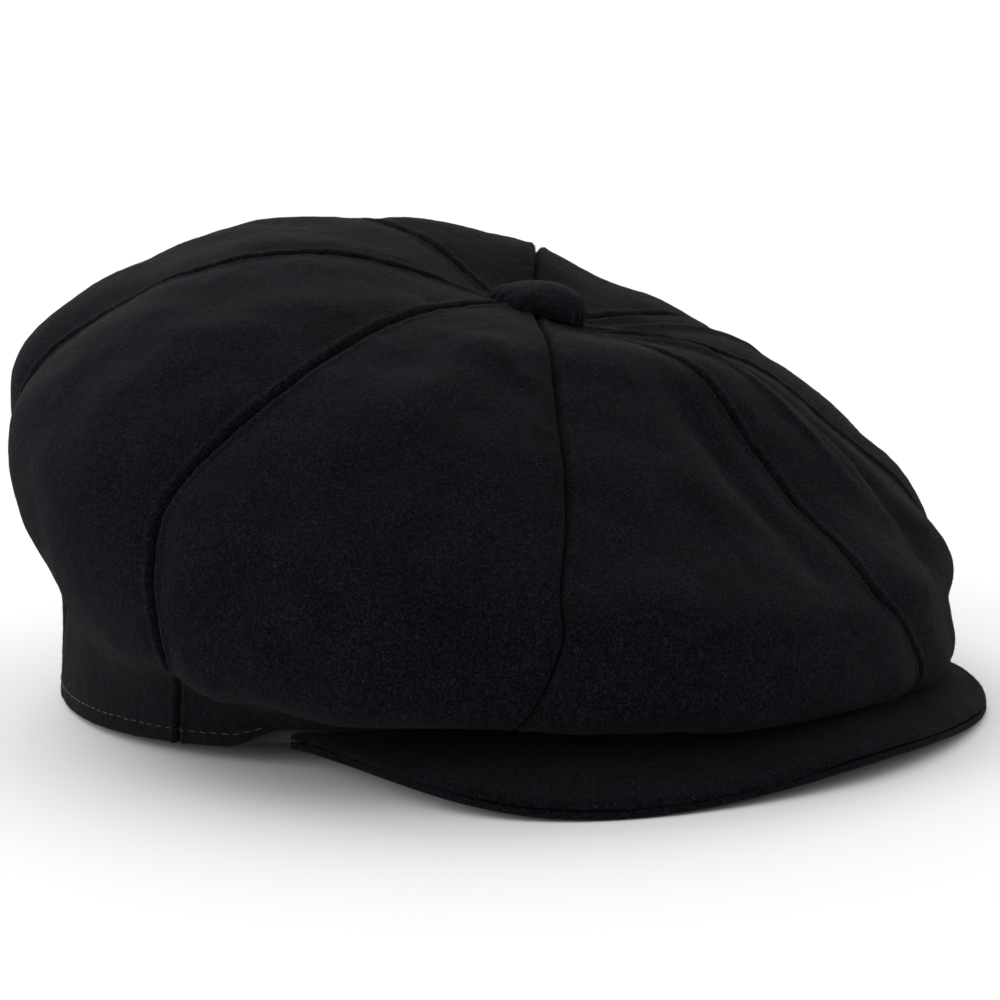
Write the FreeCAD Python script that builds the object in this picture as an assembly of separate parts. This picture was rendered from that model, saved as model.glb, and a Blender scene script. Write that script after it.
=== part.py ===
import FreeCAD, Part
import math
import os

# Newsboy cap: eight wool gores over a lining, a stiff visor and a covered button.
# Millimetres.  +Z up, the front and the visor face -Y, the wearer's left is +X.
# The origin is the centre of the head opening, on the plane that the cap rests on.

Vector = FreeCAD.Vector

# ---- head opening and hem ----
HEAD_HALF_WIDTH = 85.0       # outside of the hem, left and right
HEAD_HALF_LENGTH = 102.0     # outside of the hem, front and back
HEM_RISE_FRONT = 12.0        # the opening is tipped up at the front by the visor
GORE_COUNT = 8
GORE_GAP = 0.1               # degrees left free on each side of a seam

# ---- cloth ----
WOOL = 2.0
LINING_DEPTH = 2.5           # from the outer face of the wool to the lining
LINING = 0.5
SWEATBAND_DEPTH = 3.6        # from the outer face of the hem to the sweatband
SWEATBAND = 1.0
SWEATBAND_HEIGHT = 30.0
SWEATBAND_LIFT = 0.6         # the sweatband stops this far above the hem
BACK_JOIN_GAP = 0.3          # degrees between the sweatband's ends at the back
THREAD = 0.4

# ---- visor ----
VISOR_CORNER = 70.0          # degrees from the front to each corner of the outer edge
VISOR_INNER_SPAN = 66.0      # degrees from the front to each end of the inner edge
VISOR_SIDE_GUIDE = 99.0      # guides the edge's sideways reach; the visor is 173 mm across
VISOR_REACH = 53.0           # how far the tip stands in front of the hem
VISOR_FULLNESS = 0.7         # lower is squarer, 1 is an ellipse
VISOR_TIP_DROP = 1.6
VISOR_ARCH = 4.2             # how much lower the sides are than the corners and tip
VISOR_CLOTH = 1.2
VISOR_BOARD = 1.6
VISOR_PLY_GAP = 0.1
VISOR_TURNING = 3.0          # width of the turned-in seam allowance along the edge
VISOR_SLOPE_POWER = 1.6      # the cross-section falls faster towards the edge
HEM_OVER_VISOR_GAP = 0.3
VISOR_HEM_FADE = 10.0        # degrees over which the hem comes down beside the visor

# ---- button ----
BUTTON_X = 17.0
BUTTON_Y = -30.0
BUTTON_Z = 99.0
BUTTON_RADIUS = 12.4
BUTTON_HEIGHT = 6.2
BUTTON_CLOTH = 1.0
BUTTON_SHELL = 0.5
BUTTON_CLEARANCE = 0.5
BUTTON_BACK = 0.8
SHANK_RADIUS = 1.2
SHANK_LENGTH = 6.0
SHANK_KNOT_RADIUS = 2.2

# ---- crown rings, from the button down to the hem ----
# centre x, centre y, half width, half length, height at the front, side and back,
# height gained towards the wearer's left, lean of the front seam and of the seam
# right of it (degrees), and how far a gore pillows out between its seams.
RINGS = [
    (17, -30, 3, 3, 99, 99, 99, 0, 0, 0, 0),
    (17, -30, 15, 15, 95, 99, 102, -4, 0, 0, 0),
    (18, -31, 50, 50, 86, 97, 117, -6, 0, 1, 2),
    (17, -30, 91, 87, 52, 80, 114, -11, 3, 2, 2.5),
    (9, -19, 107, 117, 38, 60, 96, -10, 5, 2.5, 3.5),
    (3, -18, 108, 121, 30, 44, 78, -9, 13, 1, 4),
    (2, -22, 108, 119, 15, 23, 48, -7, 15, -5, 2.5),
    (4, -7, 94, 108, 14.5, 16.5, 19, -3.5, 0, 0, 1.5),
    (0, 0, HEAD_HALF_WIDTH, HEAD_HALF_LENGTH, HEM_RISE_FRONT, HEM_RISE_FRONT / 4, 0, 0, 0, 0, 0),
]
LAST_RING = len(RINGS) - 1
LINING_LEAVES_WOOL = LAST_RING - 3  # below this ring the lining bridges the inside of the fold
LINING_FOLD = LAST_RING - 2
LINING_SLACK = 4.0                 # how far the lining stands off the wool in the fold
LINING_END = LAST_RING - 0.8       # the lining is tucked behind the sweatband
STITCH_RING = LAST_RING - 0.24     # hem stitching, about 3.5 mm above the hem

VISOR_THICKNESS = 2 * VISOR_CLOTH + VISOR_BOARD + 2 * VISOR_PLY_GAP


def smooth_step(value):
    value = min(max(value, 0.0), 1.0)
    return value * value * (3 - 2 * value)


def ring_values(position):
    """Catmull-Rom blend of the ring table at a position from 0 to LAST_RING."""
    index = min(int(position), LAST_RING - 1)
    t = position - index
    here = RINGS[index]
    after = RINGS[index + 1]
    before = RINGS[index - 1] if index > 0 else [2 * a - b for a, b in zip(here, after)]
    beyond = RINGS[index + 2] if index + 2 <= LAST_RING else [2 * b - a for a, b in zip(here, after)]
    weights = (-t + 2 * t**2 - t**3, 2 - 5 * t**2 + 3 * t**3, t + 4 * t**2 - 3 * t**3, t**3 - t**2)
    rows = zip(before, here, after, beyond)
    return [sum(w * v for w, v in zip(weights, column)) / 2 for column in rows]


def visor_lift(degrees):
    """How far the hem is raised by the visor's thickness at an angle from the front."""
    fade = (VISOR_CORNER + 1 + VISOR_HEM_FADE - abs(degrees)) / VISOR_HEM_FADE
    return (VISOR_THICKNESS + HEM_OVER_VISOR_GAP) * smooth_step(fade)


def crown_base(degrees, position):
    """A point of the crown through its seams, without the pillow of the gores."""
    values = ring_values(position)
    centre_x, centre_y, half_x, half_y, z_front, z_side, z_back, tilt, lean, quarter_lean = values[:10]
    wrapped = (degrees + 180) % 360 - 180
    angle = math.radians(wrapped)
    forward = max(math.cos(angle), 0)
    quarter = math.cos(2 * angle + math.pi / 2) if -90 < wrapped < 0 else 0
    angle += math.radians(lean * forward**3 + quarter_lean * quarter)
    c = math.cos(angle)
    s = math.sin(angle)
    z = z_side + (z_front - z_back) / 2 * c + ((z_front + z_back) / 2 - z_side) * c * c + tilt * s
    z += visor_lift(wrapped) * max(position - (LAST_RING - 1), 0)
    return Vector(centre_x + half_x * s, centre_y - half_y * c, z)


def crown_point(degrees, position, depth):
    """A point at a depth under the outer face of the crown."""
    step = 0.02
    low = max(position - step, 0)
    high = min(position + step, LAST_RING)
    along = crown_base(degrees, high) - crown_base(degrees, low)
    around = crown_base(degrees + 0.5, position) - crown_base(degrees - 0.5, position)
    outward = along.cross(around)
    outward.normalize()
    ripple = abs(math.sin(math.radians(degrees) * GORE_COUNT / 2))
    pillow = ring_values(position)[10] * ripple * (2 - ripple)
    return crown_base(degrees, position) + outward * (pillow - depth)


def lining_point(degrees, position, depth):
    """A point of the lining, which follows the wool and then cuts across the crown's fold."""
    if position <= LINING_LEAVES_WOOL:
        return crown_point(degrees, position, depth)
    t = (position - LINING_LEAVES_WOOL) / (LINING_END - LINING_LEAVES_WOOL)
    start = crown_point(degrees, LINING_LEAVES_WOOL, depth)
    middle = crown_point(degrees, LINING_FOLD, depth + LINING_SLACK)
    end = crown_point(degrees, LINING_END, depth)
    return start * (1 - t)**2 + middle * (2 * t * (1 - t)) + end * t**2


def spaced(start, end, count):
    return [start + (end - start) * i / (count - 1) for i in range(count)]


def spline_surface(rows):
    surface = Part.BSplineSurface()
    surface.interpolate(rows)
    return surface


def sheet_solid(outer_rows, inner_rows):
    """A closed solid between two grids of points, with ruled edges."""
    outer = spline_surface(outer_rows)
    inner = spline_surface(inner_rows)
    faces = [outer.toShape(), inner.toShape()]
    u0, u1, v0, v1 = outer.bounds()
    w0, w1, x0, x1 = inner.bounds()
    pairs = [
        (outer.uIso(u0), inner.uIso(w0)),
        (outer.uIso(u1), inner.uIso(w1)),
        (outer.vIso(v0), inner.vIso(x0)),
        (outer.vIso(v1), inner.vIso(x1)),
    ]
    for outer_curve, inner_curve in pairs:
        wires = [Part.Wire([outer_curve.toShape()]), Part.Wire([inner_curve.toShape()])]
        faces.extend(Part.makeLoft(wires, False, True).Faces)
    shell = Part.Shell(faces)
    shell.sewShape()
    solid = Part.Solid(shell)
    if solid.Volume < 0:
        solid.reverse()
    return solid


def crown_piece(point, angles, positions, depth, thickness):
    """A solid over a grid of the crown; point gives its face at each depth."""
    outer = [[point(a, p, depth) for p in positions] for a in angles]
    inner = [[point(a, p, depth + thickness) for p in positions] for a in angles]
    return sheet_solid(outer, inner)


def hem_plane(degrees):
    return HEM_RISE_FRONT / 4 * (1 + math.cos(math.radians(degrees)))**2


def band_point(degrees, depth, height):
    """A point inside the hem, standing straight up from it."""
    angle = math.radians(degrees)
    x = (HEAD_HALF_WIDTH - depth) * math.sin(angle)
    y = -(HEAD_HALF_LENGTH - depth) * math.cos(angle)
    return Vector(x, y, hem_plane(degrees) + height)


def band_piece(depth, thickness, low, high):
    """A strip round the inside of the head opening, joined at the back."""
    angles = spaced(-180 + BACK_JOIN_GAP, 180 - BACK_JOIN_GAP, 49)
    heights = spaced(low, high, 3)
    outer = [[band_point(a, depth, h) for h in heights] for a in angles]
    inner = [[band_point(a, depth + thickness, h) for h in heights] for a in angles]
    return sheet_solid(outer, inner)


def visor_edge(share):
    """Lower outline of the visor; share runs from -1 to 1 across it."""
    angle = math.radians(90 * share)
    corner = math.radians(VISOR_CORNER)
    corner_x = HEAD_HALF_WIDTH * math.sin(corner)
    corner_y = HEAD_HALF_LENGTH * math.cos(corner)
    corner_z = hem_plane(VISOR_CORNER)
    swell = abs(math.sin(2 * angle))
    x = (corner_x + (VISOR_SIDE_GUIDE - corner_x) * swell) * math.sin(angle)
    tip = HEAD_HALF_LENGTH + VISOR_REACH
    y = corner_y + (tip - corner_y) * max(math.cos(angle), 0)**VISOR_FULLNESS
    z = corner_z - VISOR_TIP_DROP * math.cos(angle) - VISOR_ARCH * swell**2
    return Vector(x, -y, max(z, 0))


def visor_point(share, width_share, height):
    """A point of the visor; width_share is 0 at the hem and 1 at the edge."""
    degrees = VISOR_INNER_SPAN * share
    inner = band_point(degrees, 0, 0)
    outer = visor_edge(share)
    x = inner.x + (outer.x - inner.x) * width_share
    y = inner.y + (outer.y - inner.y) * width_share
    z = inner.z + (outer.z - inner.z) * width_share**VISOR_SLOPE_POWER
    return Vector(x, y, z + height)


def visor_ply(low, high, start_inset, end_inset):
    """One layer of the visor; the insets are distances from the hem and the edge."""
    top = []
    bottom = []
    for share in spaced(-1, 1, 33):
        across = visor_edge(share) - band_point(VISOR_INNER_SPAN * share, 0, 0)
        width = math.hypot(across.x, across.y)
        places = spaced(start_inset(width) / width, 1 - end_inset(width) / width, 6)
        top.append([visor_point(share, w, high) for w in places])
        bottom.append([visor_point(share, w, low) for w in places])
    return sheet_solid(top, bottom)


def make_visor():
    board_low = VISOR_CLOTH + VISOR_PLY_GAP
    board_high = board_low + VISOR_BOARD
    top_low = board_high + VISOR_PLY_GAP

    def none(width):
        return 0

    def turning(width):
        return min(VISOR_TURNING, width * 0.5)

    def board_end(width):
        return width - turning(width) + VISOR_PLY_GAP

    return {
        "visor_under_cloth": visor_ply(0, VISOR_CLOTH, none, none),
        "visor_board": visor_ply(board_low, board_high, none, turning),
        "visor_seam_allowance": visor_ply(board_low, board_high, board_end, none),
        "visor_top_cloth": visor_ply(top_low, top_low + VISOR_CLOTH, none, none),
    }


def dome(radius, height):
    """A spherical cap standing on the XY plane."""
    sphere_radius = (radius**2 + height**2) / (2 * height)
    sphere = Part.makeSphere(sphere_radius, Vector(0, 0, height - sphere_radius))
    above = Part.makeCylinder(radius * 2, height * 2)
    return sphere.common(above)


def make_button():
    cover = dome(BUTTON_RADIUS, BUTTON_HEIGHT)
    inside = dome(BUTTON_RADIUS - BUTTON_CLOTH, BUTTON_HEIGHT - BUTTON_CLOTH)
    shell_radius = BUTTON_RADIUS - BUTTON_CLOTH - 0.05
    shell_height = BUTTON_HEIGHT - BUTTON_CLOTH - 0.05
    core = dome(shell_radius - BUTTON_SHELL, shell_height - BUTTON_SHELL)
    back = Part.makeCylinder(shell_radius - 2 * BUTTON_SHELL, BUTTON_BACK)
    shank = Part.makeCylinder(SHANK_RADIUS, SHANK_LENGTH, Vector(0, 0, -SHANK_LENGTH))
    knot = Part.makeSphere(SHANK_KNOT_RADIUS, Vector(0, 0, -SHANK_LENGTH))
    pieces = {
        "button_cloth_cover": cover.cut(inside),
        "button_shell": dome(shell_radius, shell_height).cut(core),
        "button_back_plate": back,
        "button_shank_thread": shank.fuse(knot),
    }
    slope_x = RINGS[1][7] / RINGS[1][2]
    slope_y = (RINGS[1][6] - RINGS[1][4]) / 2 / RINGS[1][3]
    up = Vector(-slope_x, -slope_y, 1)
    up.normalize()
    turn = FreeCAD.Rotation(Vector(0, 0, 1), up)
    base = Vector(BUTTON_X, BUTTON_Y, BUTTON_Z) + up * BUTTON_CLEARANCE
    for piece in pieces.values():
        piece.Placement = FreeCAD.Placement(base, turn)
    return pieces


def make_crown():
    names = (
        "front_left", "left_front", "left_rear", "rear_left",
        "rear_right", "right_rear", "right_front", "front_right",
    )
    width = 360 / GORE_COUNT
    pieces = {}
    for index, name in enumerate(names):
        start = index * width + GORE_GAP
        end = (index + 1) * width - GORE_GAP
        angles = spaced(start, end, 9)
        wool_rows = spaced(0, LAST_RING, 33)
        lining_rows = spaced(0, LINING_END, 29)
        pieces["gore_" + name] = crown_piece(crown_point, angles, wool_rows, 0, WOOL)
        pieces["lining_" + name] = crown_piece(lining_point, angles, lining_rows, LINING_DEPTH, LINING)
    return pieces


def make_band():
    stitched = SWEATBAND_DEPTH + SWEATBAND
    rear_start = VISOR_CORNER + 5
    rear = spaced(rear_start, 360 - rear_start, 65)
    stitch_rows = spaced(STITCH_RING, STITCH_RING + 0.03, 3)
    return {
        "sweatband": band_piece(SWEATBAND_DEPTH, SWEATBAND, SWEATBAND_LIFT, SWEATBAND_HEIGHT),
        "sweatband_stitching": band_piece(stitched + 0.05, THREAD, 3, 3 + THREAD),
        "hem_topstitching": crown_piece(crown_point, rear, stitch_rows, -THREAD - 0.05, THREAD),
    }


def main():
    os.makedirs("parts", exist_ok=True)
    pieces = {}
    for group in (make_crown(), make_band(), make_visor(), make_button()):
        pieces.update(group)
    for name, shape in pieces.items():
        shape.exportStep("parts/" + name + ".step")
        print(name, "valid", shape.isValid(), "volume", round(shape.Volume), "solids", len(shape.Solids))


main()
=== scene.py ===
import math

import bpy
import numpy as np
from mathutils import Matrix, Vector


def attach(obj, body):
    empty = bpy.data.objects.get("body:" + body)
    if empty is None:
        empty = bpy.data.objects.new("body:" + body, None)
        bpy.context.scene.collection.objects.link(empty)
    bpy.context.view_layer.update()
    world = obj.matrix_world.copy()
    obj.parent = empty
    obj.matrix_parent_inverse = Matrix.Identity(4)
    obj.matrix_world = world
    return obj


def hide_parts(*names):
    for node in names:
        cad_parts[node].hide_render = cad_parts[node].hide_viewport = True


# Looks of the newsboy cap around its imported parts.  The shapes below are worked out in
# millimetres and become metres where a mesh is made.  Angles round the crown are degrees
# from the front, positive towards the wearer's left (+X).

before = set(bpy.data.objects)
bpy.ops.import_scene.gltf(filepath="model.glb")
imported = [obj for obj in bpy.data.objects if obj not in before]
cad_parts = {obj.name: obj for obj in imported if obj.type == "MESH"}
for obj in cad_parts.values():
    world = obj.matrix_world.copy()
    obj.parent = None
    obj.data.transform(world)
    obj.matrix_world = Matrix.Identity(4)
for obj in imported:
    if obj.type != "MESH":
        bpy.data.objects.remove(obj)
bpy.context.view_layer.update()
MM = 0.001

# ---- the crown's rings, from the button down to the hem, as in the part ----
# centre x, centre y, half width, half length, height at the front, side and back, height
# gained to the wearer's left, lean of the front seam and of the next one, pillow of a gore
RINGS = np.array([
    (17, -30, 3, 3, 99, 99, 99, 0, 0, 0, 0),
    (17, -30, 15, 15, 95, 99, 102, -4, 0, 0, 0),
    (18, -31, 50, 50, 86, 97, 117, -6, 0, 1, 2),
    (17, -30, 91, 87, 52, 80, 114, -11, 3, 2, 2.5),
    (9, -19, 107, 117, 38, 60, 96, -10, 5, 2.5, 3.5),
    (3, -18, 108, 121, 30, 44, 78, -9, 13, 1, 4),
    (2, -22, 108, 119, 15, 23, 48, -7, 15, -5, 2.5),
    (4, -7, 94, 108, 14.5, 16.5, 19, -3.5, 0, 0, 1.5),
    (0, 0, 85, 102, 12, 3, 0, 0, 0, 0, 0),
], float)
LAST_RING = len(RINGS) - 1
SIDES = ("front_left", "left_front", "left_rear", "rear_left",
         "rear_right", "right_rear", "right_front", "front_right")
GORE_DEGREES = 45
GORE_GAP = 0.03
HEAD_X, HEAD_Y = 85.0, 102.0
HEM_RISE = 12.0
WOOL = 1.9
LINING_LAST = LAST_RING - 0.8  # where the lining ends, inside the sweatband
LINING_DEPTH, LINING = 2.6, 0.4
VISOR_LIFT = 4.5
VISOR_CORNER = 70.0
VISOR_SPAN = 66.0
BUTTON_BASE = np.array([17.0, -30.0, 99.0])
BUTTON_UP = np.array([4 / 15, -3.5 / 15, 1.0])
BUTTON_UP = BUTTON_UP / np.linalg.norm(BUTTON_UP)


def smooth_step(value):
    value = np.clip(value, 0, 1)
    return value * value * (3 - 2 * value)


def ring_values(position):
    """Catmull-Rom blend of the rings; position runs from 0 at the button to 8 at the hem."""
    position = np.asarray(position, float)
    index = np.minimum(position.astype(int), LAST_RING - 1)
    t = (position - index)[..., None]
    rows = np.vstack([2 * RINGS[0] - RINGS[1], RINGS, 2 * RINGS[-1] - RINGS[-2]])
    a, b, c, d = (rows[index + k] for k in range(4))
    return ((-t + 2 * t**2 - t**3) * a + (2 - 5 * t**2 + 3 * t**3) * b
            + (t + 4 * t**2 - 3 * t**3) * c + (t**3 - t**2) * d) / 2


def crown_base(degrees, position):
    degrees, position = np.broadcast_arrays(np.asarray(degrees, float), np.asarray(position, float))
    values = ring_values(position)
    cx, cy, half_x, half_y, front, side, back, tilt, lean, quarter_lean = (values[..., k] for k in range(10))
    wrapped = (degrees + 180) % 360 - 180
    angle = np.radians(wrapped)
    forward = np.maximum(np.cos(angle), 0)
    quarter = np.where((wrapped > -90) & (wrapped < 0), np.cos(2 * angle + math.pi / 2), 0)
    angle = angle + np.radians(lean * forward**3 + quarter_lean * quarter)
    c, s = np.cos(angle), np.sin(angle)
    z = side + (front - back) / 2 * c + ((front + back) / 2 - side) * c * c + tilt * s
    lift = VISOR_LIFT * smooth_step((VISOR_CORNER + 11 - np.abs(wrapped)) / 10)
    z = z + lift * np.maximum(position - (LAST_RING - 1), 0)
    return np.stack([cx + half_x * s, cy - half_y * c, z], -1)


def unit(vectors):
    return vectors / np.maximum(np.linalg.norm(vectors, axis=-1, keepdims=True), 1e-9)


def crown_normal(degrees, position):
    step = 0.02
    along = (crown_base(degrees, np.minimum(position + step, LAST_RING))
             - crown_base(degrees, np.maximum(position - step, 0)))
    around = crown_base(degrees + 0.5, position) - crown_base(degrees - 0.5, position)
    return unit(np.cross(along, around))


def pillow(degrees, position):
    ripple = np.abs(np.sin(np.radians(degrees) * 4))
    return ring_values(position)[..., 10] * ripple * (2 - ripple)


def crown_point(degrees, position, depth=0.0):
    rise = pillow(degrees, position) - depth
    return crown_base(degrees, position) + crown_normal(degrees, position) * rise[..., None]


def waves(points, seed, size, count=18):
    """Smooth noise from -1 to 1 or so, with features about size millimetres across."""
    draw = np.random.default_rng(seed)
    directions = unit(draw.normal(size=(count, 3)))
    pitch = 2 * math.pi / (size * draw.uniform(0.7, 1.6, count))
    phase = draw.uniform(0, 2 * math.pi, count)
    total = np.zeros(points.shape[:-1])
    for k in range(count):
        total += np.sin(points @ directions[k] * pitch[k] + phase[k])
    return total / math.sqrt(count)


# ---- soft folds of the crown: (degrees, position) along each, height, half width, all mm ----
FOLDS = [
    # beside the front seam: a broad valley and the swell next to it
    ([(346, 2.0), (346.5, 2.3), (347.5, 2.65), (349, 2.9), (350.5, 3.3), (351.5, 3.9)], -3.0, 6.0),
    ([(338, 2.1), (335.5, 2.4), (338.5, 2.7), (340, 3.1), (342, 3.8)], 1.2, 8.0),
    # on the wearer's left of the front seam
    ([(33, 2.2), (29.5, 2.6), (27, 2.9), (22, 3.3), (17.5, 4.0)], -3.0, 5.0),
    ([(14, 1.1), (19, 1.4), (22, 1.8), (20, 2.3), (16, 2.8)], 1.5, 2.2),
    ([(27, 1.05), (31, 1.4), (34, 1.9), (33, 2.3)], -1.3, 2.4),
    ([(36, 1.05), (39, 1.3), (41, 1.7)], 1.2, 1.8),
    ([(55, 1.05), (62, 1.4), (69, 1.9), (72, 2.4)], 1.4, 2.6),
    ([(74, 1.1), (79, 1.6), (82, 2.2)], -1.2, 2.6),
    # the crown stands up a little along the seam behind the button
    ([(131, 1.3), (135, 1.8), (136, 2.4), (136, 3.0)], 3.2, 10.0),
    # slack below the button, with two soft ridges running down from it
    ([(287, 1.95), (293, 2.02), (300, 2.05), (306, 2.12)], 1.5, 6.0),
    ([(297, 2.0), (292, 2.35), (290, 2.6), (289, 3.0)], 0.9, 7.0),
    ([(300, 2.05), (306, 2.15), (313, 2.25)], 0.9, 4.5),
    ([(281, 2.3), (278.5, 2.8), (279, 3.3)], -0.9, 8.0),
    ([(321, 2.3), (320, 2.6), (319.5, 3.0)], -0.7, 5.0),
    # the right side and back sink a little above the hem
    ([(205, 5.7), (215, 6.0), (228, 6.2), (240, 6.2), (250, 6.1)], -7.5, 19.0),
    ([(203, 4.4), (193, 5.2), (180, 5.8)], -2.0, 11.0),
    ([(216, 3.2), (212, 4.0), (216, 4.8)], 1.0, 13.0),
    ([(152, 4.2), (142, 5.1), (128, 5.9)], -2.2, 11.0),
    ([(166, 3.0), (158, 3.6), (150, 4.1)], 0.9, 9.0),
    ([(104, 4.6), (96, 5.2), (84, 5.7)], -1.6, 9.0),
    ([(112, 2.4), (108, 3.2), (112, 3.9)], -1.3, 8.0),
]


def fold_relief(points):
    total = np.zeros(points.shape[:-1])
    for line, height, half_width in FOLDS:
        path = np.array([crown_point(np.array(float(u)), np.array(float(p))) for u, p in line])
        best = np.full(points.shape[:-1], 1e9)
        share_at = np.zeros(points.shape[:-1])
        count = len(path) - 1
        for k in range(count):
            span = path[k + 1] - path[k]
            t = np.clip(((points - path[k]) @ span) / (span @ span), 0, 1)
            away = np.linalg.norm(points - path[k] - t[..., None] * span, axis=-1)
            nearer = away < best
            best = np.where(nearer, away, best)
            share_at = np.where(nearer, (k + t) / count, share_at)
        ends = np.sin(math.pi * np.clip(share_at, 0.04, 0.96)) ** 0.6
        total += height * ends * np.exp(-(best / half_width) ** 2)
    return total


SEAM_GROOVE, SEAM_GROOVE_WIDTH = 1.5, 0.55
SEAM_RIM, SEAM_RIM_AT, SEAM_RIM_WIDTH = 0.45, 1.9, 1.0


def soft_relief(points, position):
    """Folds and slack, as heights over the plain crown."""
    quiet = smooth_step((position - 0.8) / 1.2) * smooth_step((LAST_RING + 0.3 - position) / 1.3)
    return fold_relief(points) + quiet * (0.75 * waves(points, 11, 46) + 0.28 * waves(points, 12, 17))


def wool_relief(points, degrees, position):
    """Folds, slack and the turned seam edges, as heights over the plain crown."""
    per_degree = np.linalg.norm(crown_base(degrees + 0.5, position)
                                - crown_base(degrees - 0.5, position), axis=-1)
    from_seam = np.abs((degrees + GORE_DEGREES / 2) % GORE_DEGREES - GORE_DEGREES / 2) * per_degree
    relief = soft_relief(points, position) + 0.07 * waves(points, 13, 5)
    relief -= SEAM_GROOVE * np.exp(-(from_seam / SEAM_GROOVE_WIDTH) ** 2)
    relief += SEAM_RIM * np.exp(-((from_seam - SEAM_RIM_AT) / SEAM_RIM_WIDTH) ** 2)
    relief += 0.12 * waves(points, 14, 4) * np.exp(-(from_seam / 3.0) ** 2)
    return relief


def mesh_object(name, points, faces, material, smooth=True):
    mesh = bpy.data.meshes.new(name)
    mesh.from_pydata((np.asarray(points) * MM).tolist(), [], faces)
    mesh.materials.append(material)
    mesh.validate()
    if smooth:
        mesh.polygons.foreach_set("use_smooth", np.ones(len(mesh.polygons), bool))
    mesh.update()
    made = bpy.data.objects.new(name, mesh)
    bpy.context.scene.collection.objects.link(made)
    return made


def grid_faces(rows, columns, start=0, flip=False):
    i, j = np.meshgrid(np.arange(rows - 1), np.arange(columns - 1), indexing="ij")
    a = start + i * columns + j
    quads = np.stack([a, a + 1, a + columns + 1, a + columns], -1).reshape(-1, 4)
    return quads[:, ::-1] if flip else quads


def sheet_mesh(name, outer, inner, material, flip=False):
    """A closed sheet between two grids of points of the same shape."""
    rows, columns = outer.shape[:2]
    count = rows * columns
    index = np.arange(count).reshape(rows, columns)
    rim = np.concatenate([index[0, :], index[1:, -1], index[-1, -2::-1], index[-2:0:-1, 0]])
    after = np.roll(rim, -1)
    sides = np.stack([rim, rim + count, after + count, after], -1)
    if not flip:
        sides = sides[:, ::-1]
    faces = np.vstack([
        grid_faces(rows, columns, 0, flip),
        grid_faces(rows, columns, count, not flip),
        sides,
    ])
    points = np.concatenate([outer.reshape(-1, 3), inner.reshape(-1, 3)])
    return mesh_object(name, points, faces.tolist(), material)


def edge_round(distance, radius):
    """How far a face falls back towards the middle of a sheet near its edge."""
    x = np.clip(1 - distance / radius, 0, 1)
    return 1 - np.sqrt(1 - x * x)


def fibre_mesh(name, surface, density, count, seed, longest, material, flip):
    """Short loose fibres standing off a grid of points: closed three-sided spikes."""
    draw = np.random.default_rng(seed)
    a, b = surface[1:, :-1] - surface[:-1, :-1], surface[:-1, 1:] - surface[:-1, :-1]
    across = np.cross(b, a) if flip else np.cross(a, b)
    weight = (np.linalg.norm(across, axis=-1) * density[:-1, :-1]).ravel()
    cell = draw.choice(len(weight), count, p=weight / weight.sum())
    i, j = np.divmod(cell, surface.shape[1] - 1)
    s, t = draw.random((count, 1)), draw.random((count, 1))
    root = (surface[i, j] * (1 - s) * (1 - t) + surface[i + 1, j] * s * (1 - t)
            + surface[i, j + 1] * (1 - s) * t + surface[i + 1, j + 1] * s * t)
    normal = unit(across[i, j])
    along = unit(normal * draw.uniform(0.25, 1.0, (count, 1)) + draw.normal(0, 0.55, (count, 3)))
    along = unit(along + normal * np.maximum(0.15 - (along * normal).sum(-1, keepdims=True), 0))
    length = longest * draw.uniform(0.35, 1.0, (count, 1))
    radius = draw.uniform(0.024, 0.042, (count, 1))
    one = unit(np.cross(along, normal + 0.3 * draw.normal(size=(count, 3))))
    two = np.cross(along, one)
    root = root - normal * 0.10
    corners = [root + radius * (one * math.cos(w) + two * math.sin(w)) for w in (0.0, 2.094, 4.189)]
    points = np.stack([*corners, root + along * length], 1).reshape(-1, 3)
    k = 4 * np.arange(count)[:, None]
    faces = np.concatenate([k + f for f in np.array([(0, 2, 1), (0, 1, 3), (1, 2, 3), (2, 0, 3)])])
    return mesh_object(name, points, faces.tolist(), material)


def ride_root(piece, replaced=None):
    """Every piece rides the one body; a detailed piece stands for its CAD node."""
    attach(piece, "root")
    if replaced:
        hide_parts(replaced)


def gore_pattern(point, start, last, *depth):
    """Widest and middle length, in metres, along one gore of the plain crown or lining."""
    angles, positions = np.linspace(start, start + GORE_DEGREES, 41), np.linspace(0, last, 200)
    degrees, position = np.meshgrid(angles, positions, indexing="ij")
    grid = point(degrees, position, *depth)
    widest = np.linalg.norm(np.diff(grid, axis=0), axis=-1).sum(0).max()
    middle = np.linalg.norm(np.diff(grid[20], axis=0), axis=-1).sum()
    return round(float(widest) * MM, 3), round(float(middle) * MM, 3)


# ---- materials ----
def new_material(name):
    material = bpy.data.materials.new(name)
    material.use_nodes = True
    nodes, links = material.node_tree.nodes, material.node_tree.links
    shader = nodes["Principled BSDF"]
    place = nodes.new("ShaderNodeTexCoord").outputs["Object"]
    return material, nodes, links, shader, place


def noise(nodes, links, place, scale, detail=3.0, roughness=0.55, stretch=None):
    source = place
    if stretch:
        mapping = nodes.new("ShaderNodeMapping")
        mapping.inputs["Scale"].default_value = stretch
        links.new(place, mapping.inputs["Vector"])
        source = mapping.outputs["Vector"]
    node = nodes.new("ShaderNodeTexNoise")
    node.inputs["Scale"].default_value = scale
    node.inputs["Detail"].default_value = detail
    node.inputs["Roughness"].default_value = roughness
    links.new(source, node.inputs["Vector"])
    return node.outputs["Fac"]


def ramp(nodes, links, value, stops):
    node = nodes.new("ShaderNodeValToRGB")
    band = node.color_ramp
    while len(band.elements) < len(stops):
        band.elements.new(0.5)
    for element, (at, colour) in zip(band.elements, stops):
        element.position = at
        element.color = (*colour, 1)
    links.new(value, node.inputs["Fac"])
    return node.outputs["Color"]


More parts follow.
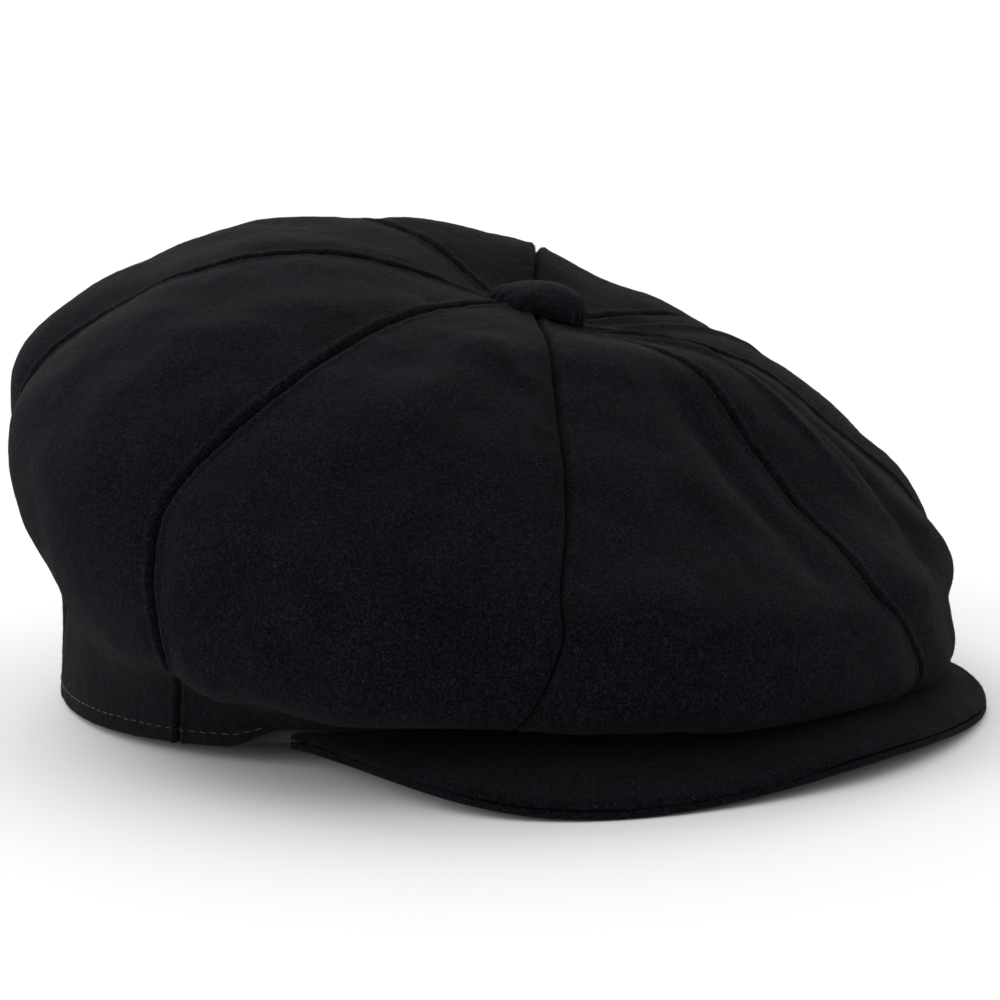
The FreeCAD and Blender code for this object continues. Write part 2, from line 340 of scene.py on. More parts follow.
def mix(nodes, links, a, b, share, kind="MIX"):
    node = nodes.new("ShaderNodeMix")
    node.data_type = "RGBA"
    node.blend_type = kind
    for socket, value in (("A", a), ("B", b)):
        target = [s for s in node.inputs if s.name == socket and s.type == "RGBA"][0]
        if isinstance(value, tuple):
            target.default_value = (*value, 1)
        else:
            links.new(value, target)
    if isinstance(share, float):
        node.inputs["Factor"].default_value = share
    else:
        links.new(share, node.inputs["Factor"])
    return [s for s in node.outputs if s.type == "RGBA"][0]


def maths(nodes, links, operation, a, b):
    node = nodes.new("ShaderNodeMath")
    node.operation = operation
    for socket, value in zip(node.inputs, (a, b)):
        if isinstance(value, float):
            socket.default_value = value
        else:
            links.new(value, socket)
    return node.outputs[0]


def bump(nodes, links, shader, height, strength, distance):
    node = nodes.new("ShaderNodeBump")
    node.inputs["Strength"].default_value = strength
    node.inputs["Distance"].default_value = distance
    links.new(height, node.inputs["Height"])
    links.new(node.outputs["Normal"], shader.inputs["Normal"])


def wool_material(name, dark, base, light, bright):
    """Dark felted wool: a matt ground with short paler fibres lying every way in it."""
    material, nodes, links, shader, place = new_material(name)
    blotch = noise(nodes, links, place, 90.0, 4.0, 0.62)
    grain = noise(nodes, links, place, 1500.0, 4.0, 0.85)
    clump = noise(nodes, links, place, 700.0, 3.0, 0.6)
    fibre_a = noise(nodes, links, place, 3400.0, 1.0, 0.5, (1.0, 0.35, 0.6))
    fibre_b = noise(nodes, links, place, 3400.0, 1.0, 0.5, (0.35, 1.0, 0.6))
    fibre_c = noise(nodes, links, place, 3400.0, 1.0, 0.5, (0.6, 0.6, 0.35))
    fibres = maths(nodes, links, "MAXIMUM", maths(nodes, links, "MAXIMUM", fibre_a, fibre_b), fibre_c)
    ground = ramp(nodes, links, grain, [(0.36, dark), (0.50, base), (0.62, light)])
    lit = ramp(nodes, links, fibres, [(0.60, (0, 0, 0)), (0.78, (1, 1, 1))])
    with_fibres = mix(nodes, links, ground, bright, maths(nodes, links, "MULTIPLY", lit, 0.5))
    patches = ramp(nodes, links, blotch, [(0.30, (0.80, 0.80, 0.80)), (0.70, (1.2, 1.2, 1.2))])
    tufts = ramp(nodes, links, clump, [(0.32, (0.70, 0.70, 0.70)), (0.68, (1.3, 1.3, 1.3))])
    mottled = mix(nodes, links, with_fibres, patches, 1.0, "MULTIPLY")
    links.new(mix(nodes, links, mottled, tufts, 1.0, "MULTIPLY"), shader.inputs["Base Color"])
    shader.inputs["Roughness"].default_value = 0.95
    shader.inputs["Specular IOR Level"].default_value = 0.05
    shader.inputs["Sheen Weight"].default_value = 0.02
    shader.inputs["Sheen Roughness"].default_value = 0.40
    shader.inputs["Sheen Tint"].default_value = (0.85, 0.90, 1.0, 1)
    height = maths(nodes, links, "ADD", maths(nodes, links, "MULTIPLY", grain, 1.0),
                   maths(nodes, links, "MULTIPLY", fibres, 0.8))
    bump(nodes, links, shader, maths(nodes, links, "ADD", height, clump), 0.8, 0.0005)
    return material


def satin_material(name):
    material, nodes, links, shader, place = new_material(name)
    weave = nodes.new("ShaderNodeTexWave")
    weave.inputs["Scale"].default_value = 700.0
    weave.inputs["Distortion"].default_value = 0.6
    weave.bands_direction = "DIAGONAL"
    links.new(place, weave.inputs["Vector"])
    soft = noise(nodes, links, place, 60.0, 3.0)
    colour = ramp(nodes, links, soft, [(0.3, (0.010, 0.010, 0.012)), (0.7, (0.020, 0.020, 0.024))])
    thread = ramp(nodes, links, weave.outputs["Fac"], [(0.0, (0.75, 0.75, 0.75)), (1.0, (1.2, 1.2, 1.2))])
    links.new(mix(nodes, links, colour, thread, 1.0, "MULTIPLY"), shader.inputs["Base Color"])
    rough = maths(nodes, links, "ADD", maths(nodes, links, "MULTIPLY", soft, 0.15), 0.28)
    links.new(rough, shader.inputs["Roughness"])
    shader.inputs["Sheen Weight"].default_value = 0.05
    bump(nodes, links, shader, weave.outputs["Fac"], 0.25, 0.0001)
    return material


def ribbed_material(name):
    material, nodes, links, shader, place = new_material(name)
    fine = noise(nodes, links, place, 1800.0, 3.0, 0.6, (1.0, 1.0, 0.35))
    wear = noise(nodes, links, place, 45.0, 3.0)
    colour = ramp(nodes, links, fine, [(0.3, (0.006, 0.006, 0.007)), (0.75, (0.022, 0.022, 0.025))])
    patches = ramp(nodes, links, wear, [(0.3, (0.8, 0.8, 0.8)), (0.7, (1.15, 1.15, 1.15))])
    links.new(mix(nodes, links, colour, patches, 1.0, "MULTIPLY"), shader.inputs["Base Color"])
    shader.inputs["Roughness"].default_value = 0.7
    shader.inputs["Sheen Weight"].default_value = 0.04
    bump(nodes, links, shader, fine, 0.4, 0.00015)
    return material


def thread_material(name, dark, light):
    material, nodes, links, shader, place = new_material(name)
    ply = nodes.new("ShaderNodeTexWave")
    ply.inputs["Scale"].default_value = 1600.0
    ply.inputs["Distortion"].default_value = 1.0
    ply.bands_direction = "DIAGONAL"
    links.new(place, ply.inputs["Vector"])
    colour = ramp(nodes, links, ply.outputs["Fac"], [(0.1, dark), (0.9, light)])
    links.new(colour, shader.inputs["Base Color"])
    shader.inputs["Roughness"].default_value = 0.6
    bump(nodes, links, shader, ply.outputs["Fac"], 0.5, 0.0001)
    return material


def board_material(name):
    material, nodes, links, shader, place = new_material(name)
    pulp = noise(nodes, links, place, 420.0, 5.0, 0.65)
    fleck = noise(nodes, links, place, 1300.0, 2.0, 0.5, (1.0, 0.4, 1.0))
    colour = ramp(nodes, links, pulp, [(0.3, (0.16, 0.13, 0.10)), (0.7, (0.26, 0.22, 0.17))])
    dots = ramp(nodes, links, fleck, [(0.64, (1, 1, 1)), (0.74, (0.6, 0.56, 0.5))])
    links.new(mix(nodes, links, colour, dots, 1.0, "MULTIPLY"), shader.inputs["Base Color"])
    shader.inputs["Roughness"].default_value = 0.85
    bump(nodes, links, shader, pulp, 0.3, 0.0002)
    return material


def metal_material(name, colour):
    material, nodes, links, shader, place = new_material(name)
    scratch = noise(nodes, links, place, 900.0, 3.0, 0.6, (1.0, 0.08, 1.0))
    stain = noise(nodes, links, place, 200.0, 4.0, 0.6)
    dull = tuple(0.6 * c for c in colour)
    links.new(ramp(nodes, links, stain, [(0.35, dull), (0.65, colour)]), shader.inputs["Base Color"])
    shader.inputs["Metallic"].default_value = 1.0
    links.new(maths(nodes, links, "ADD", maths(nodes, links, "MULTIPLY", scratch, 0.3), 0.2),
              shader.inputs["Roughness"])
    bump(nodes, links, shader, scratch, 0.2, 0.00005)
    return material


WOOL_DARK = (0.0003, 0.00035, 0.0007)
WOOL_BASE = (0.0019, 0.0021, 0.0033)
WOOL_LIGHT = (0.0085, 0.0090, 0.0125)
WOOL_BRIGHT = (0.022, 0.023, 0.029)
# The loose nap fibres are coloured far paler than the wool: partly their own pale fuzz, partly painted sheen
# where backlight catches the fuzz.
NAP_PALE_AND_PAINTED_SHEEN = (0.085, 0.088, 0.100)
wool = wool_material("felted_black_wool", WOOL_DARK, WOOL_BASE, WOOL_LIGHT, WOOL_BRIGHT)
nap_pale_and_painted_sheen = wool_material("loose_wool_fibres_pale_and_painted_sheen", WOOL_LIGHT, WOOL_BRIGHT, NAP_PALE_AND_PAINTED_SHEEN, NAP_PALE_AND_PAINTED_SHEEN)
satin = satin_material("black_satin_lining")
ribbed = ribbed_material("ribbed_sweatband")
thread = thread_material("charcoal_thread", (0.012, 0.012, 0.013), (0.05, 0.05, 0.055))
hem_thread = thread_material("hem_thread", (0.003, 0.003, 0.004), (0.013, 0.013, 0.016))
board = board_material("visor_board_pulp")
steel = metal_material("button_steel", (0.55, 0.55, 0.56))
brass = metal_material("button_back_metal", (0.48, 0.46, 0.42))

# ---- gores ----
EDGE_STEPS, MIDDLE_STEPS = 11, 60
EDGE_SHARE = 0.046
edge = np.linspace(0, 1, EDGE_STEPS) ** 1.15 * EDGE_SHARE
shares = np.concatenate([edge, np.linspace(EDGE_SHARE, 1 - EDGE_SHARE, MIDDLE_STEPS)[1:-1], 1 - edge[::-1]])
ROW_PITCH = 1.25


def even_positions(first, last, pitch):
    """Ring positions that are about evenly spaced along the crown."""
    fine = np.linspace(first, last, 600)
    length = np.zeros(600)
    for degrees in (0.0, 90.0, 180.0, 270.0, 315.0):
        line = crown_base(np.full(600, degrees), fine)
        length[1:] += np.cumsum(np.linalg.norm(np.diff(line, axis=0), axis=1)) / 5
    count = int(length[-1] / pitch) + 1
    return np.interp(np.linspace(0, length[-1], count), length, fine)


hem_rows = LAST_RING - np.array([0.05, 0.035, 0.02, 0.01, 0.004, 0])
rows = np.concatenate([even_positions(0.0, LAST_RING - 0.07, ROW_PITCH), hem_rows])
HEM_ROUND = 1.0


def gore_surfaces(start, end):
    degrees, position = np.meshgrid(start + (end - start) * shares, rows, indexing="ij")
    plain = crown_point(degrees, position)
    normal = crown_normal(degrees, position)
    relief = wool_relief(plain, degrees, position)
    per_ring = np.linalg.norm(crown_base(degrees, np.full_like(position, LAST_RING))
                              - crown_base(degrees, position), axis=-1)
    fall = edge_round(per_ring, HEM_ROUND) * WOOL / 2
    outer = plain + normal * (relief - fall)[..., None]
    inner_depth = WOOL - np.clip(relief, -0.6, 0.6)
    inner = plain - normal * (np.maximum(inner_depth, 0.7 - relief) - fall)[..., None]
    return outer, inner


NAP_COUNT, NAP_LENGTH = 14000, 0.85
for index, side in enumerate(SIDES):
    start = index * GORE_DEGREES + GORE_GAP
    outer, inner = gore_surfaces(start, start + GORE_DEGREES - 2 * GORE_GAP)
    # Denser pale nap along the gore edges beside the seams: partly fuzz at the turned edges, partly painted
    # sheen on these rims.
    rim = np.exp(-((np.minimum(shares, 1 - shares) - 0.022) / 0.012) ** 2)
    density = np.repeat(1 + 7.0 * rim[:, None], len(rows), 1)
    fuzz = fibre_mesh("wool_nap_" + side, outer, density, NAP_COUNT, 70 + index, NAP_LENGTH, nap_pale_and_painted_sheen, True)
    ride_root(fuzz)
    piece = sheet_mesh("wool_gore_" + side, outer, inner, wool, flip=True)
    ride_root(piece, "gore_" + side)
    gore_pattern(crown_point, index * GORE_DEGREES, LAST_RING)

# ---- lining ----
lining_shares = np.linspace(0, 1, 40)
lining_rows = np.linspace(0, LINING_LAST, 120)
BRIDGE_SAG = 4.0
LINING_GAP = 0.1


def lining_point(degrees, position, depth):
    leaves, last = LAST_RING - 3, LINING_LAST
    follow = crown_point(degrees, np.minimum(position, leaves), depth)
    t = np.clip((position - leaves) / (last - leaves), 0, 1)[..., None]
    top = crown_point(degrees, np.full_like(position, leaves), depth)
    middle = crown_point(degrees, np.full_like(position, LAST_RING - 2), depth + BRIDGE_SAG)
    low = crown_point(degrees, np.full_like(position, last), depth)
    bridge = top * (1 - t)**2 + middle * 2 * t * (1 - t) + low * t**2
    return np.where(position[..., None] <= leaves, follow, bridge)


for index, side in enumerate(SIDES):
    start = index * GORE_DEGREES + LINING_GAP
    across = start + (GORE_DEGREES - 2 * LINING_GAP) * lining_shares
    degrees, position = np.meshgrid(across, lining_rows, indexing="ij")
    plain = lining_point(degrees, position, np.full_like(position, LINING_DEPTH))
    slack = 0.5 * (1 + waves(plain, 31, 14)) + 0.15 * (1 + waves(plain, 32, 6))
    edges = np.sin(math.pi * np.clip(lining_shares, 0, 1))[:, None] ** 0.5
    slack = slack * edges * smooth_step(position / 1.0)
    pushed_in = 1.5 - soft_relief(crown_point(degrees, position), position)
    depth = np.maximum(LINING_DEPTH + slack, pushed_in)
    outer = lining_point(degrees, position, depth)
    inner = lining_point(degrees, position, depth + LINING)
    piece = sheet_mesh("satin_lining_" + side, outer, inner, satin, flip=True)
    ride_root(piece, "lining_" + side)
    gore_pattern(lining_point, index * GORE_DEGREES, LINING_LAST, LINING_DEPTH)


# ---- sweatband ----
def hem_plane(degrees):
    return HEM_RISE / 4 * (1 + np.cos(np.radians(degrees)))**2


def band_point(degrees, depth, height):
    angle = np.radians(degrees)
    x = (HEAD_X - depth) * np.sin(angle)
    y = -(HEAD_Y - depth) * np.cos(angle)
    return np.stack(np.broadcast_arrays(x, y, hem_plane(degrees) + height), -1)


BAND_DEPTH, BAND_THICK, BAND_LOW, BAND_HIGH = 3.6, 1.0, 0.6, 30.0
RIBS, RIB_SAMPLES = 420, 5
RIB_DEPTH = 0.16
count = RIBS * RIB_SAMPLES + 1
band_degrees = np.linspace(-179.7, 179.7, count)
band_heights = np.concatenate([BAND_LOW + np.array([0, 0.12, 0.35, 0.7]),
                               np.linspace(BAND_LOW + 1.6, BAND_HIGH - 1.6, 11),
                               BAND_HIGH - np.array([0.7, 0.35, 0.12, 0])])
degrees, height = np.meshgrid(band_degrees, band_heights, indexing="ij")
rib = RIB_DEPTH * np.cos(np.linspace(0, 2 * math.pi * RIBS, count))[:, None]
selvage = smooth_step((np.minimum(height - BAND_LOW, BAND_HIGH - height) - 1.0) / 0.8)
fall = edge_round(np.minimum(height - BAND_LOW, BAND_HIGH - height), 0.5) * BAND_THICK / 2
place = band_point(degrees, BAND_DEPTH, height)
sway = 0.25 * waves(place, 41, 60) * smooth_step((height - 12) / 15)
outer = band_point(degrees, BAND_DEPTH + fall + sway, height)
inner = band_point(degrees, BAND_DEPTH + BAND_THICK - fall + sway - RIB_DEPTH + rib * selvage, height)
sweatband = sheet_mesh("sweatband_ribbed", outer, inner, ribbed, flip=False)
ride_root(sweatband, "sweatband")


# ---- stitches ----
def stitches(name, centres, tangents, outward, length, radius, bow, material):
    """Separate thread stitches, each a bowed rod with rounded ends that dip into the cloth."""
    sides, steps = 6, 7
    t = np.linspace(-1, 1, steps)
    points, faces = [], []
    swell = np.sqrt(np.maximum(1 - t**6, 0.0)) * 0.85 + 0.15
    for centre, along, up in zip(centres, tangents, outward):
        across = np.cross(along, up)
        start = len(points)
        for k in range(steps):
            middle = centre + along * (length / 2 * t[k]) + up * (bow * (1 - 1.6 * t[k]**2))
            for s in range(sides):
                a = 2 * math.pi * s / sides
                points.append(middle + radius * swell[k] * (across * math.cos(a) + up * math.sin(a)))
        for k in range(steps - 1):
            for s in range(sides):
                a, b = start + k * sides + s, start + k * sides + (s + 1) % sides
                faces.append((a, b, b + sides, a + sides))
        faces.append(tuple(start + s for s in range(sides))[::-1])
        faces.append(tuple(start + (steps - 1) * sides + s for s in range(sides)))
    return mesh_object(name, np.array(points), faces, material)


def along_line(line, pitch):
    """Evenly spaced centres on a polyline, and the direction of the line at each."""
    length = np.concatenate([[0], np.cumsum(np.linalg.norm(np.diff(line, axis=0), axis=1))])
    at = np.arange(pitch / 2, length[-1], pitch)
    centres = np.stack([np.interp(at, length, line[:, k]) for k in range(3)], -1)
    ahead = np.stack([np.interp(at + 0.5, length, line[:, k]) for k in range(3)], -1)
    behind = np.stack([np.interp(at - 0.5, length, line[:, k]) for k in range(3)], -1)
    return at, centres, unit(ahead - behind)


BAND_STITCH_HEIGHT, BAND_STITCH_PITCH, BAND_STITCH_SHAKE = 3.2, 3.4, 0.08
HEM_STITCH_PITCH, HEM_STITCH_SHAKE = 3.6, 0.10
draw = np.random.default_rng(5)
around = np.linspace(-179.0, 179.0, 1500)
heights = np.full_like(around, BAND_STITCH_HEIGHT)
line = band_point(around, BAND_DEPTH + BAND_THICK + 0.1, heights)
at, centres, tangents = along_line(line, BAND_STITCH_PITCH)
facing = unit(np.stack([-centres[:, 0], -centres[:, 1], np.zeros(len(at))], -1))
centres = centres + np.array([0, 0, 1.0]) * draw.normal(0, BAND_STITCH_SHAKE, (len(at), 1))
piece = stitches("sweatband_stitches", centres, tangents, facing,
                 length=2.7, radius=0.24, bow=0.16, material=thread)
ride_root(piece, "sweatband_stitching")

STITCH_RING = LAST_RING - 0.24
around = np.linspace(75, 285, 1600)
rings = np.full_like(around, STITCH_RING)
plain = crown_point(around, rings)
line = plain + crown_normal(around, rings) * wool_relief(plain, around, rings)[:, None]
at, centres, tangents = along_line(line, HEM_STITCH_PITCH)
run = np.concatenate([[0], np.cumsum(np.linalg.norm(np.diff(line, axis=0), axis=1))])
where = np.interp(at, run, around)
facing = crown_normal(where, np.full_like(where, STITCH_RING))
centres = centres + np.cross(tangents, facing) * draw.normal(0, HEM_STITCH_SHAKE, (len(at), 1))
piece = stitches("hem_stitches", centres, tangents, facing,
                 length=2.4, radius=0.17, bow=0.02, material=hem_thread)
ride_root(piece, "hem_topstitching")


# ---- visor ----
VISOR_SIDE_GUIDE = 99.0  # guides the edge's sideways reach; the visor is 173 mm across
VISOR_TIP = 155.0
VISOR_FULLNESS, VISOR_DROP, VISOR_ARCH, VISOR_SLOPE = 0.7, 1.6, 4.2, 1.6
TOP_HEIGHT, SEAM_HEIGHT = 4.2, 2.6
TOP_INNER, UNDER_INNER = 3.05, 1.12  # heights of the two cloths' faces against the board
UNDER_TOP = SEAM_HEIGHT - 0.55
VISOR_SHARE = 0.985  # how far round the quarter turn the cross rows go
VISOR_ROWS = 221


def visor_edge(share):
    angle = np.radians(90 * share)
    corner = math.radians(VISOR_CORNER)
    corner_x, corner_y = HEAD_X * math.sin(corner), HEAD_Y * math.cos(corner)
    swell = np.abs(np.sin(2 * angle))
    x = (corner_x + (VISOR_SIDE_GUIDE - corner_x) * swell) * np.sin(angle)
    y = corner_y + (VISOR_TIP - corner_y) * np.maximum(np.cos(angle), 0)**VISOR_FULLNESS
    z = hem_plane(VISOR_CORNER) - VISOR_DROP * np.cos(angle) - VISOR_ARCH * swell**2
    return np.stack([x, -y, np.maximum(z, 0)], -1)


def visor_sheet(profile_a, profile_b):
    """Two faces of a visor cloth; a profile gives (distance from the edge, height) for a row."""
    turn = math.pi / 2 * VISOR_SHARE
    share = np.sin(np.linspace(-1, 1, VISOR_ROWS) * math.pi / 2 * VISOR_SHARE) / math.sin(turn)
    inner_edge = band_point(VISOR_SPAN * share, 0.0, np.zeros_like(share))
    outer_edge = visor_edge(share)
    across = outer_edge - inner_edge
    width = np.hypot(across[:, 0], across[:, 1])
    faces = []
    for profile in (profile_a, profile_b):
        inset, height = profile(width)
        place = 1 - inset / width[:, None]
        grid = inner_edge[:, None] + across[:, None] * place[..., None]
        lift = np.clip(place, 0, 1.01)**VISOR_SLOPE
        grid[..., 2] = inner_edge[:, None, 2] + across[:, None, 2] * lift + height
        faces.append(grid)
    return faces


FLAT_STEPS, TURN_STEPS = 46, 12


def flat_part(width, turn):
    share = np.linspace(0, 1, FLAT_STEPS)[None, :]
    return width[:, None] - (width - turn)[:, None] * share


def top_turn(width):
    """Radius of the top cloth's turn down over the edge, smaller where the visor is narrow."""
    return np.minimum(2.4, 0.42 * width)


def under_turn(width):
    return np.minimum(0.8, 0.3 * width)


def top_outer(width):
    turn = top_turn(width)
    inset = flat_part(width, turn)
    angle = np.linspace(0, math.pi / 2, TURN_STEPS + 1)[None, 1:]
    arc = turn[:, None] * (1 - np.sin(angle))
    arc_height = SEAM_HEIGHT + (TOP_HEIGHT - SEAM_HEIGHT) * np.cos(angle) + 0 * arc
    under = np.stack([np.full_like(width, 0.25), np.full_like(width, 0.8)], -1)
    under_height = np.full((len(width), 2), SEAM_HEIGHT) - np.array([[0.12, 0.14]])
    height = np.full_like(inset, TOP_HEIGHT)
    return (np.concatenate([inset, arc, under], 1), np.concatenate([height, arc_height, under_height], 1))


def top_inner(width):
    turn = top_turn(width)
    inset = flat_part(width, turn)
    angle = np.linspace(0, math.pi / 2, TURN_STEPS + 1)[None, 1:]
    arc = turn[:, None] - (turn[:, None] - 1.1) * np.sin(angle)
    arc_height = SEAM_HEIGHT + 0.1 + (TOP_INNER - SEAM_HEIGHT - 0.1) * np.cos(angle) + 0 * arc
    under = np.stack([np.full_like(width, 1.05), np.full_like(width, 0.95)], -1)
    under_height = np.full((len(width), 2), SEAM_HEIGHT) + np.array([[0.04, -0.02]])
    height = np.full_like(inset, TOP_INNER)
    return (np.concatenate([inset, arc, under], 1), np.concatenate([height, arc_height, under_height], 1))


def under_outer(width):
    turn = under_turn(width)
    inset = flat_part(width, turn)
    angle = np.linspace(-math.pi / 2, math.pi / 2, TURN_STEPS + 1)[None, 1:]
    arc = turn[:, None] * np.where(angle < 0, 1 - 1.15 * np.cos(angle), 0.35 - 0.5 * np.cos(angle))
    arc_height = UNDER_TOP / 2 * (1 + np.sin(angle)) + 0 * arc
    return (np.concatenate([inset, arc], 1), np.concatenate([np.zeros_like(inset), arc_height], 1))


def under_inner(width):
    turn = under_turn(width) + 0.3
    inset = flat_part(width, turn)
    arc = np.repeat(turn[:, None], TURN_STEPS, 1) - np.linspace(0, 0.1, TURN_STEPS)[None, :]
    rise = np.linspace(0, 1, TURN_STEPS)[None, :]
    arc_height = UNDER_INNER + (UNDER_TOP - 1.17) * rise + 0 * arc
    height = np.full_like(inset, UNDER_INNER)
    return (np.concatenate([inset, arc], 1), np.concatenate([height, arc_height], 1))


def visor_relief(grid, amount):
    soft = amount * (0.30 * waves(grid, 51, 38) + 0.10 * waves(grid, 52, 12) + 0.05 * waves(grid, 53, 5))
    moved = grid.copy()
    moved[..., 2] += soft
    return moved


top_faces = visor_sheet(top_outer, top_inner)
top_faces = [visor_relief(grid, 1.0) for grid in top_faces]
visor_top = sheet_mesh("visor_top_wool", top_faces[0], top_faces[1], wool, flip=True)
ride_root(visor_top, "visor_top_cloth")

# Denser pale nap near the visor's edge; the nap's colour is partly painted sheen.
near_edge = np.exp(-((np.arange(top_faces[0].shape[1]) - FLAT_STEPS - 4) / 6.0) ** 2)
density = np.repeat(1 + 3 * near_edge[None, :], len(top_faces[0]), 0)
fuzz = fibre_mesh("wool_nap_visor", top_faces[0], density, NAP_COUNT, 90, NAP_LENGTH, nap_pale_and_painted_sheen, True)
ride_root(fuzz)

under_faces = visor_sheet(under_outer, under_inner)
visor_under = sheet_mesh("visor_under_wool", under_faces[0], under_faces[1], wool, flip=False)
ride_root(visor_under, "visor_under_cloth")


ALLOWANCE_TOP, ALLOWANCE_MIDDLE, ALLOWANCE_LOW = 2.75, 2.1, 1.4
ALLOWANCE_BULGE = 0.12


def allowance_face(height):
    def profile(width):
        share = np.linspace(0, 1, 7)
        inset = np.minimum(4.2, 0.5 * width)[:, None] - np.minimum(2.9, 0.25 * width)[:, None] * share
        bulge = np.sin(share * math.pi)[None, :]
        return inset, height + ALLOWANCE_BULGE * bulge * np.sign(height - ALLOWANCE_MIDDLE) + 0 * inset
    return profile


allowance = visor_sheet(allowance_face(ALLOWANCE_TOP), allowance_face(ALLOWANCE_LOW))
piece = sheet_mesh("visor_seam_turning", allowance[0], allowance[1], wool, flip=True)
ride_root(piece, "visor_seam_allowance")

# ---- button ----
side_axis = unit(np.cross(BUTTON_UP, np.array([0.0, 1.0, 0.0])))
other_axis = np.cross(BUTTON_UP, side_axis)
BUTTON_RADIUS, BUTTON_HEIGHT = 12.6, 6.8
BUTTON_FULLER, BUTTON_FULL_SIDE = 0.35, 2.36
# where each crease lies (radians round the button), its depth and half width
BUTTON_CREASES = [(5.45, 1.5, 0.9), (4.9, 0.6, 0.6), (2.5, 0.9, 0.8), (0.7, 0.35, 0.7), (3.6, 0.5, 0.7)]


def button_grid(shrink, gather):
    """A domed button: cloth pulled over a shell, gathered underneath, with pinched creases."""
    turns = np.linspace(0, 2 * math.pi, 241)
    t = np.linspace(0.012, 1, 60)
    angle, ring = np.meshgrid(turns, t, indexing="ij")
    swing = np.pi / 2 * ring
    radius = (BUTTON_RADIUS - shrink) * np.sin(swing)
    fuller = 1 + BUTTON_FULLER * np.sin(swing) * np.cos(angle - BUTTON_FULL_SIDE)
    height = (BUTTON_HEIGHT + 0.9 * gather - shrink) * np.maximum(np.cos(swing), 0) ** 0.85 * fuller
    gathers = np.sin(angle * 19 + 1.7 * np.sin(angle * 3)) + 0.6 * np.sin(angle * 31 + 2.0)
    radius = radius + 0.20 * gather * gathers * smooth_step((ring - 0.70) / 0.30)
    place = (BUTTON_BASE + BUTTON_UP * 0.4
             + side_axis * (radius * np.cos(angle))[..., None]
             + other_axis * (radius * np.sin(angle))[..., None]
             + BUTTON_UP * height[..., None])
    soft = 0.22 * waves(place, 61, 10) + 0.07 * waves(place, 62, 3.5)
    for turn, depth, width in BUTTON_CREASES:
        off = np.abs((angle - turn + math.pi) % (2 * math.pi) - math.pi) * np.maximum(radius, 0.5)
        soft = soft - depth * np.exp(-(off / width) ** 2) * smooth_step((ring - 0.25) / 0.5)
    lift = gather * soft * np.sin(swing)
    outward = unit(place - (BUTTON_BASE - BUTTON_UP * 8))
    return place + outward * lift[..., None]


def lathe_mesh(name, outer, inner, material):
    """A closed cap from two grids whose first and last turns meet."""
    turns, columns = outer.shape[0] - 1, outer.shape[1]
    points = np.concatenate([outer[:-1].reshape(-1, 3), inner[:-1].reshape(-1, 3)])
    count = turns * columns
    faces = []
    for i in range(turns):
        n = (i + 1) % turns
        for j in range(columns - 1):
            a, b = i * columns + j, n * columns + j
            faces.append((a, a + 1, b + 1, b))
            faces.append((count + b, count + b + 1, count + a + 1, count + a))
        a, b = i * columns + columns - 1, n * columns + columns - 1
        faces.append((a, count + a, count + b, b))
    top = [i * columns for i in range(turns)]
    faces.append(tuple(top))
    faces.append(tuple(count + i for i in top[::-1]))
    return mesh_object(name, points, faces, material)


cover_outer = button_grid(0.0, 1.0)
cover_inner = button_grid(1.0, 0.0)
cover = lathe_mesh("button_wool_cover", cover_outer, cover_inner, wool)
ride_root(cover, "button_cloth_cover")

for node, material in (("visor_board", board), ("button_shell", steel),
                       ("button_back_plate", brass), ("button_shank_thread", thread)):
    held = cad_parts[node]
    held.data.materials.clear()
    held.data.materials.append(material)

# ---- floor, light and camera ----
FLOOR = 30.0


def floor_material():
    material, nodes, links, shader, place = new_material("pale_floor")
    grain = noise(nodes, links, place, 3.0, 2.0)
    links.new(ramp(nodes, links, grain, [(0.0, (0.90, 0.90, 0.90)), (1.0, (0.92, 0.92, 0.92))]),
              shader.inputs["Base Color"])
    shader.inputs["Roughness"].default_value = 0.9
    shader.inputs["Specular IOR Level"].default_value = 0.1
    return material


corners = np.array([(-FLOOR, -FLOOR, 0), (FLOOR, -FLOOR, 0), (FLOOR, FLOOR, 0), (-FLOOR, FLOOR, 0)]) / MM
floor = mesh_object("floor", corners, [(0, 1, 2, 3)], floor_material(), smooth=False)

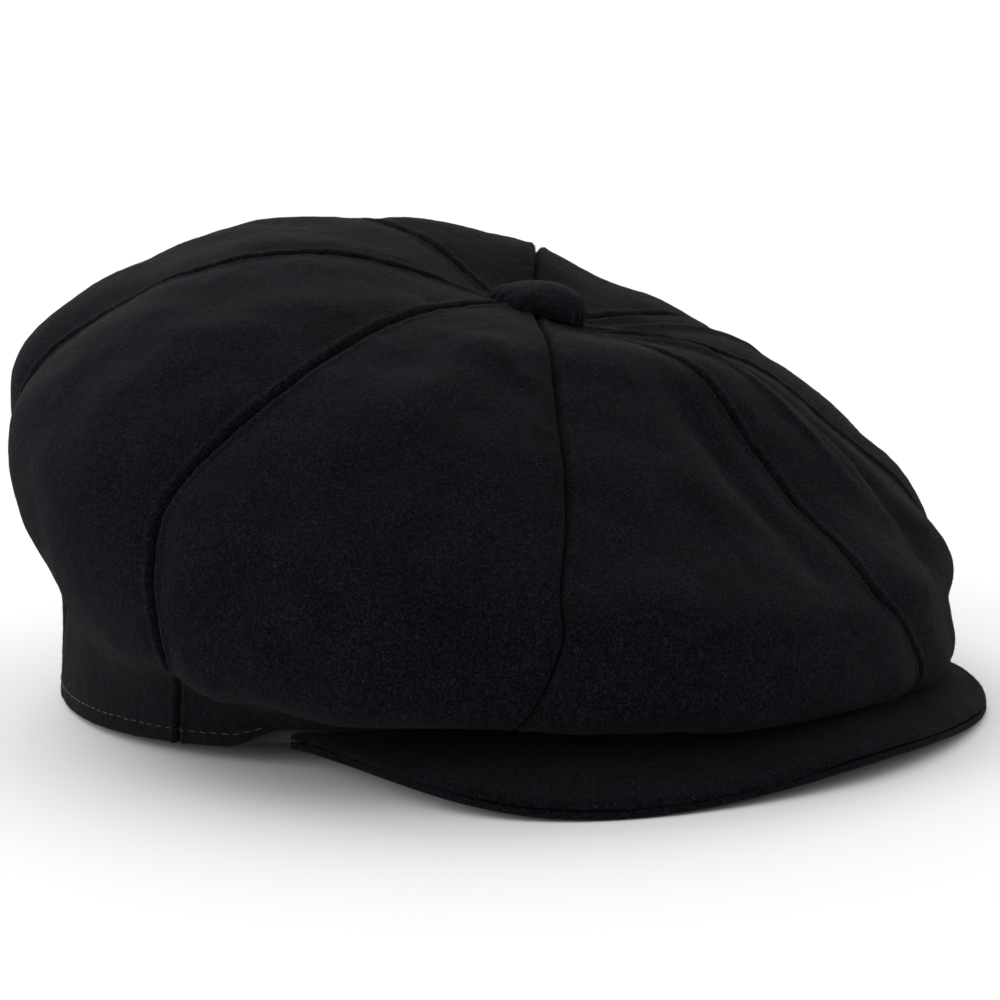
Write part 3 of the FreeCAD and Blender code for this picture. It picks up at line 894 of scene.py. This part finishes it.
world = bpy.data.worlds.new("studio")
world.use_nodes = True
world.node_tree.nodes["Background"].inputs["Color"].default_value = (1.0, 1.0, 1.0, 1)
world.node_tree.nodes["Background"].inputs["Strength"].default_value = 0.82
bpy.context.scene.world = world


def sun(name, towards, strength, spread):
    """A large soft light; towards points from the cap to the light, spread is its width in degrees."""
    lamp = bpy.data.lights.new(name, "SUN")
    lamp.energy = strength
    lamp.angle = math.radians(spread)
    made = bpy.data.objects.new(name, lamp)
    made.rotation_mode = "QUATERNION"
    made.rotation_quaternion = Vector(towards).to_track_quat("Z", "Y")
    bpy.context.scene.collection.objects.link(made)


sun("softbox_behind", (0.35, 0.68, 0.50), 1.7, 60)
sun("softbox_rim", (-0.70, 0.60, 0.30), 0.7, 40)

AZIMUTH, ELEVATION, ROLL = -45.0, 13.0, -2.5
DISTANCE = 1.100  # metres from the middle of the head opening
AIM_RIGHT, AIM_UP = 0.02052, 0.04935  # metres from that middle to the middle of the view
SENSOR, LENS = 36.0, 152.46  # millimetres
camera_data = bpy.data.cameras.new("camera")
camera_data.sensor_width = SENSOR
camera_data.lens = LENS
camera_data.clip_start, camera_data.clip_end = 0.01, 100
camera = bpy.data.objects.new("camera", camera_data)
bpy.context.scene.collection.objects.link(camera)
bpy.context.scene.camera = camera
azimuth, elevation, roll = (math.radians(a) for a in (AZIMUTH, ELEVATION, ROLL))
back = Vector((math.sin(azimuth) * math.cos(elevation),
               -math.cos(azimuth) * math.cos(elevation), math.sin(elevation)))
right = Vector((math.cos(azimuth), math.sin(azimuth), 0))
up = back.cross(right)
right_rolled = right * math.cos(roll) + up * math.sin(roll)
up_rolled = up * math.cos(roll) - right * math.sin(roll)
facing = Matrix((right_rolled, up_rolled, back)).transposed()
seen = Vector((-AIM_RIGHT, -AIM_UP, -DISTANCE)).normalized()
aim = seen.rotation_difference(Vector((0, 0, -1))).to_matrix()
camera.rotation_mode = "QUATERNION"
camera.location = back * DISTANCE
camera.rotation_quaternion = (facing @ aim).to_quaternion()

bpy.context.scene.view_settings.view_transform = "Standard"
